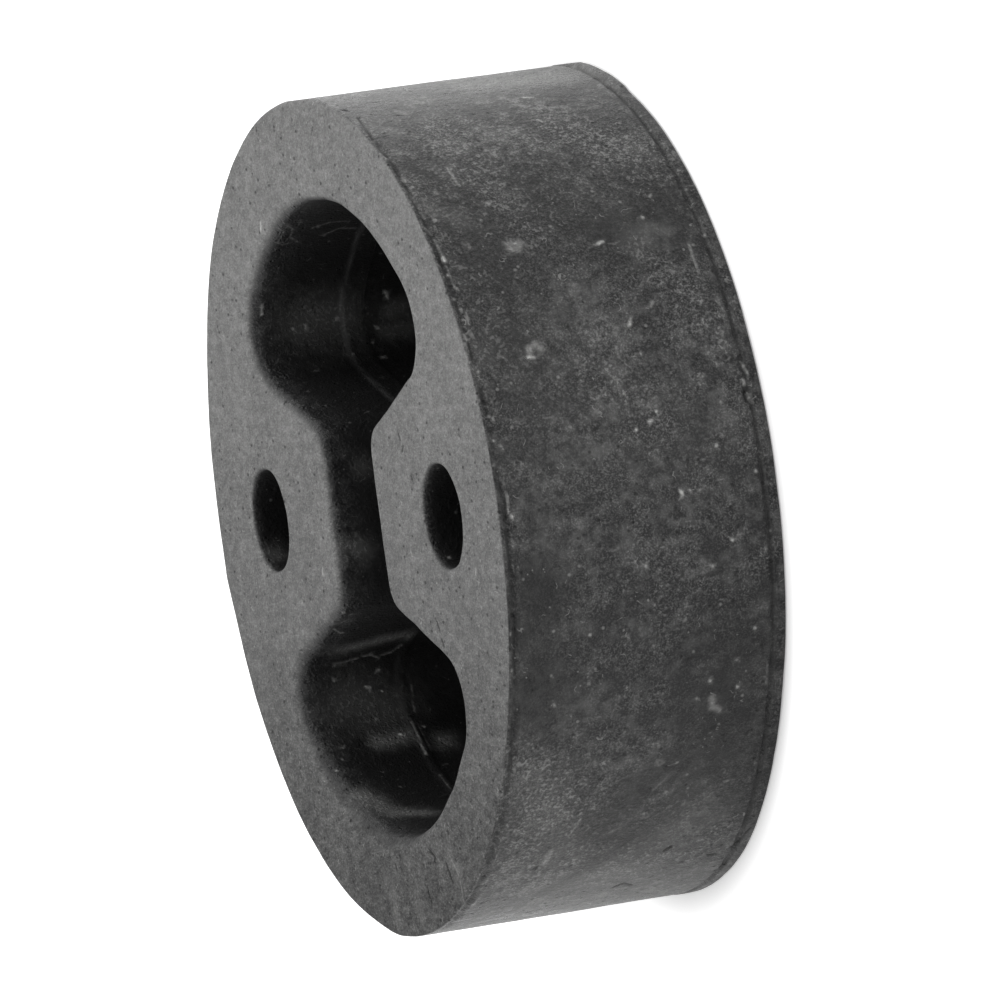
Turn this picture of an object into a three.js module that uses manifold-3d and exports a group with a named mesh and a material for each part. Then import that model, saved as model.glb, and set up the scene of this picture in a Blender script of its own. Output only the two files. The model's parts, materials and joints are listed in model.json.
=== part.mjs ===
// Exhaust hanger rubber: a thick rubber disc, moulded in one piece.
// Two rods go through the pin holes, left and right. The open neck and the two lobes between the
// bosses let the disc stretch and swing, and the ring round them holds the two rods together.
// The disc lies on its back face: +Z runs along the holes, the pins lie on X and the lobes on Y.

import * as THREE from "three";
import { mergeVertices } from "three/addons/utils/BufferGeometryUtils.js";
import Module from "manifold-3d";

const wasm = await Module();
wasm.setup();

// Driving dimensions, in millimetres and degrees
const thickness = 25;
const pinSpacing = 44.2;
const pinHoleDiameter = 8.7;
const pinWall = 9.55; // rubber outside each pin hole, up to the rim
const rimWall = 8.7; // rubber outside each lobe, up to the rim
const neckWidth = 11.6;
const bossHeight = 14.8; // of the face that each boss turns to the neck, up to its sharp corners
const bossSlope = 20.8; // degrees that a boss's flanks lean out towards the ring
const bossCorner = 3.1;
const lobeCorner = 4.3;
const openingLip = 0.8; // radius of the rounded edge where the opening meets a face
const pinLip = 0.5;
const frontEdge = 0.6; // radius between the front face and the side
const backEdge = 0.8;
const ribFromFront = 9.6; // where the two mould cores met, as a low rib round the opening
const ribHeight = 0.45;
const ribWidth = 2.2;
const seamFromBack = 1.5; // the mould's outer seam, as a fine groove round the side
const seamDepth = 0.2;
const seamWidth = 0.5;

// Sizes that follow from them
const outerRadius = pinSpacing / 2 + pinHoleDiameter / 2 + pinWall;
const ringRadius = outerRadius - rimWall;
const slope = THREE.MathUtils.degToRad(bossSlope);

// Facets
const sideFacets = 96;
const holeFacets = 32;
const cornerFacets = 6;
const ringFacets = 16;
const edgeFacets = 3;

const rubber = new THREE.MeshStandardMaterial({ color: "#4b4b4c", roughness: 0.72, metalness: 0 });

// A closed three.js geometry as a solid that can be joined and cut
function solidFrom(geometry) {
  geometry.deleteAttribute("normal");
  geometry.deleteAttribute("uv");
  const merged = mergeVertices(geometry, 1e-4);
  const corners = merged.index.array;
  const triangles = [];
  for (let i = 0; i < corners.length; i += 3) {
    const [a, b, c] = corners.slice(i, i + 3);
    if (a !== b && b !== c && c !== a) triangles.push(a, b, c);
  }
  const vertProperties = new Float32Array(merged.attributes.position.array);
  return new wasm.Manifold(new wasm.Mesh({ numProp: 3, vertProperties, triVerts: new Uint32Array(triangles) }));
}

// The finished solid as a three.js geometry with a face normal on every facet
function geometryFrom(solid) {
  const mesh = solid.getMesh();
  const geometry = new THREE.BufferGeometry();
  geometry.setAttribute("position", new THREE.BufferAttribute(new Float32Array(mesh.vertProperties), 3));
  geometry.setIndex(new THREE.BufferAttribute(new Uint32Array(mesh.triVerts), 1));
  const faceted = geometry.toNonIndexed();
  faceted.computeVertexNormals();
  return faceted;
}

// Points along an arc, both ends included
function arcPoints(centre, radius, from, to, facets) {
  const points = [];
  for (let i = 0; i <= facets; i++) {
    const angle = THREE.MathUtils.lerp(from, to, i / facets);
    points.push(new THREE.Vector2(centre.x + radius * Math.cos(angle), centre.y + radius * Math.sin(angle)));
  }
  return points;
}

// The outline of the opening, moved outwards into the rubber by `growth`.
// Each corner keeps its centre, so all such outlines have the same points in the same order.
function openingOutline(growth) {
  const neck = neckWidth / 2;
  // The boss corner touches the neck's wall and the flank, which meet at half the boss height
  const boss = new THREE.Vector2(neck + bossCorner, 0);
  boss.y = bossHeight / 2 + bossCorner * Math.tan(slope) - bossCorner / Math.cos(slope);
  // The lobe corner touches the flank and, from inside, the ring. Its centre lies on a line beside
  // the flank, and the ring's radius less its own away from the middle.
  const lift = bossHeight / 2 - neck * Math.tan(slope) + lobeCorner / Math.cos(slope);
  const reach = ringRadius - lobeCorner;
  const along = Math.sqrt(reach ** 2 - (lift * Math.cos(slope)) ** 2) - lift * Math.sin(slope);
  const lobe = new THREE.Vector2(along * Math.cos(slope), lift + along * Math.sin(slope));
  const ringStart = Math.atan2(lobe.y, lobe.x);
  const middle = new THREE.Vector2(0, 0);
  const quarter = [
    ...arcPoints(boss, bossCorner - growth, Math.PI, Math.PI / 2 + slope, cornerFacets),
    ...arcPoints(lobe, lobeCorner + growth, slope - Math.PI / 2, ringStart, cornerFacets),
    ...arcPoints(middle, ringRadius + growth, ringStart, Math.PI / 2, ringFacets).slice(1),
  ];
  const mirrored = quarter.slice(0, -1).reverse().map((p) => new THREE.Vector2(-p.x, p.y));
  const half = [...quarter, ...mirrored];
  return [...half, ...half.map((p) => new THREE.Vector2(-p.x, -p.y))];
}

// The outline of the pin hole on the left (-1) or right (1), moved outwards by `growth`
function pinOutline(side, growth) {
  const centre = new THREE.Vector2((side * pinSpacing) / 2, 0);
  return arcPoints(centre, pinHoleDiameter / 2 + growth, 0, 2 * Math.PI, holeFacets).slice(0, -1);
}

// A hole's wall in section, from below the back face to above the front face. Each point is a growth
// (x) at a height (y). A rounded lip leads into each face, and anything on the wall lies between.
function wallSection(lip, between = []) {
  const beyond = lip;
  return [
    new THREE.Vector2(lip, -beyond),
    ...arcPoints(new THREE.Vector2(lip, lip), lip, -Math.PI / 2, -Math.PI, edgeFacets),
    ...between,
    ...arcPoints(new THREE.Vector2(lip, thickness - lip), lip, Math.PI, Math.PI / 2, edgeFacets),
    new THREE.Vector2(lip, thickness + beyond),
  ];
}

// The low rib round the inside of the opening, with flanks at 45 degrees
function ribSection() {
  const middle = thickness - ribFromFront;
  const crown = ribWidth / 2 - ribHeight;
  return [
    new THREE.Vector2(0, middle - ribWidth / 2),
    new THREE.Vector2(-ribHeight, middle - crown),
    new THREE.Vector2(-ribHeight, middle + crown),
    new THREE.Vector2(0, middle + ribWidth / 2),
  ];
}

// The solid that a hole takes out of the disc: one outline lofted along the section of its wall
function holeSolid(outlineAt, section) {
  const rows = section.map((step) => outlineAt(step.x).map((p) => new THREE.Vector3(p.x, p.y, step.y)));
  const around = rows[0].length;
  const triangles = [];
  for (let row = 0; row < rows.length - 1; row++) {
    for (let i = 0; i < around; i++) {
      const next = (i + 1) % around;
      const low = row * around;
      const high = low + around;
      triangles.push(low + i, low + next, high + next, low + i, high + next, high + i);
    }
  }
  const top = (rows.length - 1) * around;
  for (const [a, b, c] of THREE.ShapeUtils.triangulateShape(outlineAt(section[0].x), [])) {
    triangles.push(c, b, a, top + a, top + b, top + c);
  }
  const geometry = new THREE.BufferGeometry().setFromPoints(rows.flat());
  return solidFrom(geometry.setIndex(triangles));
}

// The plain disc, turned from half of its section
function disc() {
  const seamTop = seamFromBack + seamWidth / 2;
  const seamBottom = seamFromBack - seamWidth / 2;
  const backCentre = new THREE.Vector2(outerRadius - backEdge, backEdge);
  const frontCentre = new THREE.Vector2(outerRadius - frontEdge, thickness - frontEdge);
  const section = [
    new THREE.Vector2(0, 0),
    ...arcPoints(backCentre, backEdge, -Math.PI / 2, 0, edgeFacets),
    new THREE.Vector2(outerRadius, seamBottom),
    new THREE.Vector2(outerRadius - seamDepth, seamFromBack),
    new THREE.Vector2(outerRadius, seamTop),
    ...arcPoints(frontCentre, frontEdge, 0, Math.PI / 2, edgeFacets),
    new THREE.Vector2(0, thickness),
  ];
  return solidFrom(new THREE.LatheGeometry(section, sideFacets).rotateX(Math.PI / 2));
}

function hangerRubber() {
  const opening = holeSolid(openingOutline, wallSection(openingLip, ribSection()));
  let body = disc().subtract(opening);
  for (const side of [-1, 1]) {
    const pinHole = holeSolid((growth) => pinOutline(side, growth), wallSection(pinLip));
    body = body.subtract(pinHole);
  }
  const mesh = new THREE.Mesh(geometryFrom(body), rubber);
  mesh.name = "hanger_rubber";
  return mesh;
}

const group = new THREE.Group();
group.add(hangerRubber());

export default group;
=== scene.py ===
# %% [markdown]
# A moulded rubber exhaust hanger.
# This notebook dresses one small car part: the thick rubber disc that an exhaust pipe hangs from.
# Its solid comes in as a fixed frame, and here it gets the skin that the real one has: soft lips,
# mould seams, nicks, a grey bloom and the grain of used rubber. The work goes in five steps: camera
# and light, the sheets of the skin, the marks, the finish, and the hand-over to the frame.

# %% Load the fixed frame
import json
import math

import bmesh
import bpy
import numpy as np
from mathutils import Matrix, Vector, noise
from mathutils.bvhtree import BVHTree
from mathutils.geometry import delaunay_2d_cdt

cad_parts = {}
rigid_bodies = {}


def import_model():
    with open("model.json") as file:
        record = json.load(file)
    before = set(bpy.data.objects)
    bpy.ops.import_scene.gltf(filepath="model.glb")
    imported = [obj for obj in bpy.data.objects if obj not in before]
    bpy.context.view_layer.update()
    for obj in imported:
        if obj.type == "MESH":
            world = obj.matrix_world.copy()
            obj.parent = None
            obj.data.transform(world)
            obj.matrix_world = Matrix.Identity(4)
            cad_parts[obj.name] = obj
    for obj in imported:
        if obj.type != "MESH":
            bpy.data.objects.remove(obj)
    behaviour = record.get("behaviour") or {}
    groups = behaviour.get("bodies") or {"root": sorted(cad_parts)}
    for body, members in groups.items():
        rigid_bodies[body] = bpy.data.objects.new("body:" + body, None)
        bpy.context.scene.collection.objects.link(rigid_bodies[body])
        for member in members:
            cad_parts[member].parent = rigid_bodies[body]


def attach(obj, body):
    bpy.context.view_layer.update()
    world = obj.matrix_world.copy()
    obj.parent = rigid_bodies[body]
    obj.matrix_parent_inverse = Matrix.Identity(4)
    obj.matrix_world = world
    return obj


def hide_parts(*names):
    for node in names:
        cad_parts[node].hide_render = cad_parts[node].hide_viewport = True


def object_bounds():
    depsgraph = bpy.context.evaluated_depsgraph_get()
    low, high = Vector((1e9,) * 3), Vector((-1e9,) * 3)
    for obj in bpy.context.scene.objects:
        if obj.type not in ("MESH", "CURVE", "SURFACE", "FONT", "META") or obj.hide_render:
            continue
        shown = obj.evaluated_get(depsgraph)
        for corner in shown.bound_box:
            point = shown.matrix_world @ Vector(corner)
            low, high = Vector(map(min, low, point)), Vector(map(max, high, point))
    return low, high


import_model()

MM = 0.001  # Blender works in metres, and a maker thinks in millimetres
cad_low, cad_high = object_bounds()
outer_radius = (cad_high.x - cad_low.x) / 2 / MM
thickness = (cad_high.z - cad_low.z) / MM
print(f"frame: disc {2 * outer_radius:.1f} mm across and {thickness:.1f} mm thick")

# %% [markdown]
# The camera.
# The disc lies on its back face, with its axis straight up. The photograph looks at its side from
# far away with a long lens, so that the disc seems to stand on its rim. Instead of tipping the
# object, we tip the camera: it is placed by the angle between the view and the disc's axis, by a
# small tilt, and by a roll about the line of sight.

# %% Place the camera
axis_turn = math.radians(70.11)  # from the disc's axis to the line of sight
axis_tilt = math.radians(2.19)  # towards the lobe that is up in the picture
camera_roll = math.radians(-7.63)
camera_distance = 1127.8  # millimetres, from the front face
aim_right = 12.47  # millimetres, from the middle of the front face to the middle of the picture
aim_up = 1.62
picture_size = 1000
focal_pixels = 13232

towards_camera = Vector((
    math.sin(axis_turn) * math.cos(axis_tilt),
    math.sin(axis_tilt),
    math.cos(axis_turn) * math.cos(axis_tilt),
))
level_right = Vector((math.cos(axis_turn), 0, -math.sin(axis_turn)))
level_up = towards_camera.cross(level_right)
picture_right = math.cos(camera_roll) * level_right + math.sin(camera_roll) * level_up
picture_up = math.cos(camera_roll) * level_up - math.sin(camera_roll) * level_right
camera_place = (
    Vector((0, 0, thickness))
    + aim_right * picture_right
    + aim_up * picture_up
    + camera_distance * towards_camera
)
camera_data = bpy.data.cameras.new("camera")
camera_data.sensor_width = 36
camera_data.lens = focal_pixels / picture_size * camera_data.sensor_width
camera = bpy.data.objects.new("camera", camera_data)
bpy.context.scene.collection.objects.link(camera)
camera.matrix_world = Matrix((
    (picture_right.x, picture_up.x, towards_camera.x, camera_place.x * MM),
    (picture_right.y, picture_up.y, towards_camera.y, camera_place.y * MM),
    (picture_right.z, picture_up.z, towards_camera.z, camera_place.z * MM),
    (0, 0, 0, 1),
))
bpy.context.scene.camera = camera
print(f"camera: {camera_data.lens:.0f} mm lens, {camera_distance * MM:.2f} m away")


# %% [markdown]
# Colours and nodes.
# A colour is easiest to read as the hex value that a paint program shows. Blender mixes light in
# linear numbers, so one function turns the hex value into those. A second small function adds a
# node with its settings and links, which keeps each material short enough to read.

# %% Colour and node helpers
def linear(hex_colour):
    channels = [int(hex_colour[i : i + 2], 16) / 255 for i in (1, 3, 5)]
    return tuple(c / 12.92 if c <= 0.04045 else ((c + 0.055) / 1.055) ** 2.4 for c in channels) + (1,)


def node(tree, kind, inputs=None, **settings):
    """Adds a node. An input takes a value, or a link from another node or from one of its outputs."""
    made = tree.nodes.new(kind)
    for name, value in settings.items():
        setattr(made, name, value)
    for name, value in (inputs or {}).items():
        if isinstance(value, bpy.types.Node):
            value = value.outputs[0]
        if isinstance(value, bpy.types.NodeSocket):
            tree.links.new(value, made.inputs[name])
        else:
            made.inputs[name].default_value = value
    return made


def new_tree(owner):
    owner.use_nodes = True
    owner.node_tree.nodes.clear()
    return owner.node_tree


def seen_at(tree, straight, mirrored):
    """A strength for camera rays, and another for the rays that a gloss or glass sends out."""
    rays = node(tree, "ShaderNodeLightPath").outputs
    by_eye = node(tree, "ShaderNodeMath", {0: rays["Is Camera Ray"], 1: straight}, operation="MULTIPLY")
    bounced = node(tree, "ShaderNodeMath", {0: rays["Is Glossy Ray"], 1: rays["Is Transmission Ray"]},
                   operation="MAXIMUM")
    by_gloss = node(tree, "ShaderNodeMath", {0: bounced, 1: mirrored}, operation="MULTIPLY")
    return node(tree, "ShaderNodeMath", {0: by_eye, 1: by_gloss}, operation="MAXIMUM")


print(f"colour: mid grey #808080 is {linear('#808080')[0]:.3f} in linear light")


# %% [markdown]
# The studio.
# The photograph was taken on white, in soft light from above and from the side of the front face.
# A wide pale floor and a pale world give the white ground, and two large softboxes the light.
# The floor has a glow of its own, which only the camera and the reflections see. It makes the ground
# white without adding light to the object, and the rest of the floor's colour keeps a soft shadow.
# Under the disc the glow stops, so the holes stay dark inside. Behind the camera the room is dimmer,
# and the reflections see less glow than the eye, because black rubber must not turn grey in them.

# %% Floor
floor_size = 40  # metres
glow_to_the_eye = 0.68
glow_in_reflections = 0.26
glow_from_radius = 0.034  # metres from the disc's axis
glow_full_radius = 0.038
dark_card = (0.022, 0.072, 0.0)  # the middle of a soft place that reflects no glow, up in the picture
dark_card_radius = 0.062

bpy.ops.mesh.primitive_plane_add(size=floor_size)
floor = bpy.context.object
floor.name = "floor"
floor_paint = bpy.data.materials.new("white_floor")
tree = new_tree(floor_paint)
place = node(tree, "ShaderNodeTexCoord").outputs["Object"]
from_axis = node(tree, "ShaderNodeVectorMath", {0: place}, operation="LENGTH").outputs["Value"]
outside = node(tree, "ShaderNodeMapRange", {"Value": from_axis, "From Min": glow_from_radius,
               "From Max": glow_full_radius})
from_card = node(tree, "ShaderNodeVectorMath", {0: place, 1: dark_card}, operation="DISTANCE")
reflected_glow = node(tree, "ShaderNodeMapRange", {"Value": from_card.outputs["Value"],
                      "From Min": 0.5 * dark_card_radius, "From Max": dark_card_radius,
                      "To Max": glow_in_reflections})
glow_level = node(tree, "ShaderNodeMath", {0: seen_at(tree, glow_to_the_eye, reflected_glow),
                  1: outside}, operation="MULTIPLY")
glow = node(tree, "ShaderNodeEmission", {"Color": linear("#ffffff"), "Strength": glow_level})
matt = node(tree, "ShaderNodeBsdfDiffuse", {"Color": linear("#f2f2f2")})
both = node(tree, "ShaderNodeAddShader", {0: matt, 1: glow})
node(tree, "ShaderNodeOutputMaterial", {"Surface": both})
floor.data.materials.append(floor_paint)
print(f"floor: {floor_size} m wide, glow {glow_to_the_eye} to the eye")

# %% World
world_light = 0.6  # what the world gives to matt surfaces, where 1 would be full white
dim_room = 0.28  # the world behind the camera, as a share of the rest

world = bpy.data.worlds.new("studio")
bpy.context.scene.world = world
tree = new_tree(world)
towards = node(tree, "ShaderNodeTexCoord").outputs["Generated"]
towards_x = node(tree, "ShaderNodeSeparateXYZ", {0: towards}).outputs["X"]
room = node(tree, "ShaderNodeMapRange", {"Value": towards_x, "From Min": -0.2, "From Max": 0.9,
            "To Min": 1.0, "To Max": dim_room})
lit = node(tree, "ShaderNodeMath", {0: seen_at(tree, 1.0, 1.0), 1: world_light}, operation="MAXIMUM")
level = node(tree, "ShaderNodeMath", {0: lit, 1: room}, operation="MULTIPLY")
sky = node(tree, "ShaderNodeBackground", {"Color": linear("#ffffff"), "Strength": level})
node(tree, "ShaderNodeOutputWorld", {"Surface": sky})
bpy.context.scene.view_settings.view_transform = "Standard"
print(f"world: light {world_light}, and {dim_room} of it behind the camera")


# %% Softboxes
def softbox(name, direction, distance, size, watts):
    """A square lamp that looks at the disc from the given direction. Distance and size in metres."""
    data = bpy.data.lights.new(name, "AREA")
    data.size = size
    data.energy = watts
    lamp = bpy.data.objects.new(name, data)
    bpy.context.scene.collection.objects.link(lamp)
    direction = Vector(direction).normalized()
    lamp.location = Vector((0, 0, thickness * MM / 2)) + distance * direction
    lamp.rotation_mode = "QUATERNION"
    lamp.rotation_quaternion = direction.to_track_quat("Z", "Y")
    lamp.visible_glossy = False  # the sheen shows the white studio, not the lamps
    print(f"lamp: {name}, {watts} W, {size} m wide")


softbox("key_above_the_upper_lobe", (0.0, 0.55, 0.75), distance=0.45, size=0.4, watts=1.2)
softbox("fill_by_the_camera", (1.0, -0.3, 0.5), distance=1.3, size=0.8, watts=4)


# %% [markdown]
# The outline of the opening.
# Looked at from the front, the opening is a waist between two bosses, with a lobe above and below.
# A pattern maker would set it out with a compass: a small arc for each boss corner, a straight
# flank, a wider arc for each corner of a lobe, and the ring's own arc. We keep each point's normal
# too, because every lip, rib and dent of the wall is a step along it, into or out of the rubber.

# %% Set out the opening and the pin holes
rim_wall = 8.7
pin_hole_diameter = 8.7
pin_spacing = 44.2
neck_width = 11.6
boss_height = 14.8
boss_slope = math.radians(20.8)
boss_corner = 3.1
lobe_corner = 4.3
ring_radius = outer_radius - rim_wall


def arc_run(centre, radius, start, end, step, inward=False):
    """Points and normals along an arc. The normals point into the rubber."""
    count = max(3, round(abs(end - start) * radius / step))
    angles = np.linspace(start, end, count + 1)
    spokes = np.column_stack((np.cos(angles), np.sin(angles)))
    return np.array(centre) + radius * spokes, -spokes if inward else spokes


def straight_run(start, end, normal, step):
    """Points and normals between two points, without its ends."""
    count = max(2, round(float(np.linalg.norm(end - start)) / step))
    share = (np.arange(1, count) / count)[:, None]
    return start + share * (end - start), np.tile(normal, (count - 1, 1))


def opening_outline(step):
    half_neck = neck_width / 2
    lean, stand = math.sin(boss_slope), math.cos(boss_slope)
    boss_centre = (half_neck + boss_corner, boss_height / 2 + boss_corner * (lean - 1) / stand)
    lift = boss_height / 2 - half_neck * lean / stand + lobe_corner / stand
    along = math.sqrt((ring_radius - lobe_corner) ** 2 - (lift * stand) ** 2) - lift * lean
    lobe_centre = (along * stand, lift + along * lean)
    ring_start = math.atan2(lobe_centre[1], lobe_centre[0])
    boss = arc_run(boss_centre, boss_corner, math.pi, math.pi / 2 + boss_slope, step, inward=True)
    lobe = arc_run(lobe_centre, lobe_corner, boss_slope - math.pi / 2, ring_start, step)
    ring = arc_run((0, 0), ring_radius, ring_start, math.pi / 2, step)
    waist = np.array((half_neck, 0.0))
    start = (waist[None], np.array(((1.0, 0.0),)))
    neck = straight_run(waist, boss[0][0], (1.0, 0.0), step)
    flank = straight_run(boss[0][-1], lobe[0][0], (lean, -stand), step)
    ring = (ring[0][1:], ring[1][1:])
    outline = []
    for runs in zip(start, neck, boss, flank, lobe, ring):
        quarter = np.vstack(runs)
        half = np.vstack((quarter, quarter[-2:0:-1] * (-1, 1)))
        outline.append(np.vstack((half, -half)))
    return outline


def circle_outline(centre, radius, step, inward=False):
    points, normals = arc_run(centre, radius, 0, 2 * math.pi, step, inward)
    return points[:-1], normals[:-1]


side_step = 0.5  # between points along an outline, in millimetres
wall_step = 0.6
rim = circle_outline((0, 0), outer_radius, side_step, inward=True)
opening = opening_outline(wall_step)
pin_holes = [circle_outline((x, 0), pin_hole_diameter / 2, wall_step) for x in
             (-pin_spacing / 2, pin_spacing / 2)]
print(f"outlines: {len(rim[0])} points round the rim, {len(opening[0])} round the opening")

# %% [markdown]
# The relief of the walls.
# Rubber that was pressed in a steel mould is never quite the drawing. The rim bulges a little at the
# upper left and is pulled in near the back, the lips are wider where they were rubbed, a fin of flash
# stands where the mould's two halves met, and the cores left a low rib round the opening. Sculpting
# could make all that, but a formula is easier to change. Each is a bell or a step in two directions:
# the place round the disc, and the height up from the back face.


# %% Bells, steps and smooth noise
def bell(values, middle, width):
    return np.exp(-(((values - middle) / width) ** 2))


def bell_round(angles, middle, width):
    """A bell over angles in degrees, which joins up all the way round."""
    return np.exp(-((((angles - middle + 180) % 360 - 180) / width) ** 2))


def smooth_step(values, start, end):
    share = np.clip((values - start) / (end - start), 0, 1)
    return share * share * (3 - 2 * share)


def smooth_noise(points, size, shift):
    """Even noise from about -1 to 1 whose swells are this many millimetres apart."""
    offset = Vector((shift, -shift, 2 * shift))
    return np.array([noise.noise(Vector(p) / size + offset) for p in points])


def rounded(depth, radius):
    """How far a rounded edge of this radius has turned away, at a depth below the face."""
    inside = np.clip(radius - depth, 0, None)
    return radius - np.sqrt(np.clip(radius**2 - inside**2, 0, None))


print(f"bell: {bell(0.5, 0, 1):.2f} of its height is left at half its width")

# %% Relief of the side
front_edge = 0.25
back_edge = 0.3
front_line = 0.55  # the groove behind the front rim, measured back from the face
seam_height = 1.25  # of the outer mould seam, above the back face
front_swells = {
    # where round the disc and how wide, in degrees, and how far into the rubber, in millimetres
    "bulge of the upper left rim": (118, 25, -0.75),
    "bulge of the left rim": (155, 22, -0.2),
    "shoulder between the two": (140, 13, -0.45),
    "flat of the lower rim": (253, 8, 0.1),
    "bulge of the lower rim": (266, 8, -0.2),
}
back_swells = {
    "flat of the upper back": (71, 12, 0.2),
    "bulge of the lower back": (300, 12, -0.25),
}


def side_relief(points):
    """How far the rubber stands inside the true cylinder."""
    angles = np.degrees(np.arctan2(points[:, 1], points[:, 0]))
    height = points[:, 2]
    below_front = thickness - height
    edge = np.column_stack((points[:, :2], np.full(len(points), 5.0)))
    wander = smooth_noise(edge, 2.2, 3.1)
    patchy = smooth_noise(edge, 4.5, 8.7)
    fine = smooth_noise(edge, 0.9, 5.3)

    soft_top = 0.45 * bell_round(angles, 92, 15)
    relief = rounded(below_front, front_edge + soft_top)
    relief += rounded(height, back_edge + 0.1 * patchy)

    crisp = smooth_step(np.abs((angles + 8 + 180) % 360 - 180), 76, 66)
    groove = bell(below_front, front_line + 0.14 * wander, 0.2)
    relief += 0.22 * crisp * groove * (0.75 + 0.7 * fine)
    fin = bell(below_front, front_line + 0.5 + 0.15 * wander, 0.13)
    relief -= 0.14 * crisp * fin * smooth_step(patchy + 0.7 * fine, 0.0, 0.5)

    seam = bell(height, seam_height + 0.07 * wander, 0.17)
    relief += 0.22 * seam * smooth_step(patchy + 0.5 * fine, -0.75, -0.1)
    relief -= 0.05 * smooth_step(height, seam_height, seam_height - 0.3)

    near_front = height / thickness
    near_back = 1 - near_front
    for swells, share in ((front_swells, near_front), (back_swells, near_back)):
        for place, width, depth in swells.values():
            relief += depth * bell_round(angles, place, width) * share
    lip_of_flash = smooth_step(angles, 67.5, 69.5) * smooth_step(angles, 98, 88)
    relief -= 0.2 * lip_of_flash * smooth_step(height, 1.1, 0.7)
    fin_on_the_left = smooth_step(angles, -174.5, -173.2) * smooth_step(angles, -165, -172)
    relief -= 0.3 * fin_on_the_left * bell(below_front, 0.3, 0.5)
    return relief


def side_wear_and_painted_light(points, normals):
    """Pale beads of flash along the rims, a dark line along the back seam, painted shade in the groove
    behind the front rim and in a band behind it, and painted sheen as pale clouds on the top of the side.
    """
    angles = np.degrees(np.arctan2(points[:, 1], points[:, 0]))
    height = points[:, 2]
    below_front = thickness - height
    on_side = smooth_step(np.linalg.norm(points[:, :2], axis=1), outer_radius - 1.5, outer_radius - 0.9)
    crisp = smooth_step(np.abs((angles + 8 + 180) % 360 - 180), 80, 64)
    fine = smooth_noise(points, 0.45, 33.1)
    broad = smooth_noise(points, 3.1, 37.3)
    # Painted shade in the groove behind the front rim and in a band just behind it; a dark line along the
    # seam.
    groove = bell(below_front, front_line, 0.21) * smooth_step(fine + broad, -0.6, 0.2)
    behind_groove = 0.3 * bell(below_front, 1.1, 0.6) * smooth_step(fine + 0.5 * broad, -0.5, 0.4)
    seam = bell(height, seam_height, 0.2) * smooth_step(fine + broad, -0.8, 0.2)
    dark = on_side * np.maximum.reduce((0.9 * crisp * groove, crisp * behind_groove, 0.7 * seam))
    beads = smooth_step(fine, 0.28, 0.55) * smooth_step(broad, -0.2, 0.3)
    pale = on_side * beads * (0.4 * crisp * bell(below_front, front_line + 0.5, 0.3)
                              + 0.2 * bell(below_front, 0.1, 0.2) + 0.3 * bell(height, 1.7, 0.25))
    # Painted sheen: pale clouds on the top of the side only, where light from above grazes it.
    top = smooth_step(normals[:, 1], 0.86, 1.0) * on_side
    clouds = smooth_step(smooth_noise(points, 2.6, 41.9) + 0.6 * smooth_noise(points, 0.8, 45.3), -0.1, 0.9)
    pale += 0.1 * top * clouds
    return pale, dark


print(f"side: {len(front_swells) + len(back_swells)} swells round the rims")

# %% Relief of the opening and the pin holes
opening_lip = 0.85
pin_lip = 0.45
rib_from_front = 9.6


def opening_relief(points):
    """How far the wall stands back into the rubber. The rib is negative, out into the opening."""
    x, y, height = points.T
    below_front = thickness - height
    wander = smooth_noise(points, 3.0, 1.7)
    fine = smooth_noise(points, 0.8, 4.4)
    left = smooth_step(x, 0, -14)
    worn_bottom = bell(y, -27, 5) * smooth_step(x, 16, -4)
    front_lip = opening_lip + 0.45 * left + 1.2 * worn_bottom + 0.12 * wander
    relief = rounded(below_front, front_lip) + rounded(height, opening_lip + 0.15 * wander)

    upper = smooth_step(y, -2, 4)
    half_width = 0.2 + 0.65 * upper
    across = np.abs(below_front - rib_from_front - 0.15 * wander)
    rib = smooth_step(across, half_width + 0.4, half_width)
    relief -= (0.2 + 0.14 * upper + 0.05 * fine) * rib
    return relief + 0.06 * wander


def pin_relief(points):
    wander = smooth_noise(points, 2.5, 6.2)
    lip = pin_lip + 0.12 * wander
    return rounded(thickness - points[:, 2], lip) + rounded(points[:, 2], lip) + 0.05 * wander


print(f"lips: {opening_lip} mm at the opening, {pin_lip} mm at the pin holes")

# %% [markdown]
# The skin as sheets.
# The disc's surface is made of sheets: its side, the wall of each hole, and the two flat faces.
# Side and walls are grids, with closer rows where the section bends. The faces are filled with
# triangles between the last rows of those grids, so the whole skin is one closed mesh.

# %% Sheets of the side and the hole walls
row_step = 0.5
fine_row_step = 0.18
lip_depth = 2.0  # the deepest lip
side_lip_rows = 20
wall_lip_rows = 12

vertices = []
faces = []


def heights_of_rows(lip_rows, fine_places=()):
    """Row heights up a wall: crowded towards both faces, and closer round each fine place."""
    near_face = lip_depth * (1 - np.cos(np.linspace(0, math.pi / 2, lip_rows + 1)))
    heights = list(near_face)
    top = thickness - lip_depth
    while heights[-1] < top - row_step:
        close = any(abs(heights[-1] - place) < reach for place, reach in fine_places)
        heights.append(heights[-1] + (fine_row_step if close else row_step))
    heights = np.array(heights)
    spread = (heights - lip_depth) * (top - lip_depth) / (heights[-1] - lip_depth) + lip_depth
    heights = np.where(heights > lip_depth, spread, heights)
    return np.concatenate((heights, (thickness - near_face[::-1])[1:]))


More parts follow.
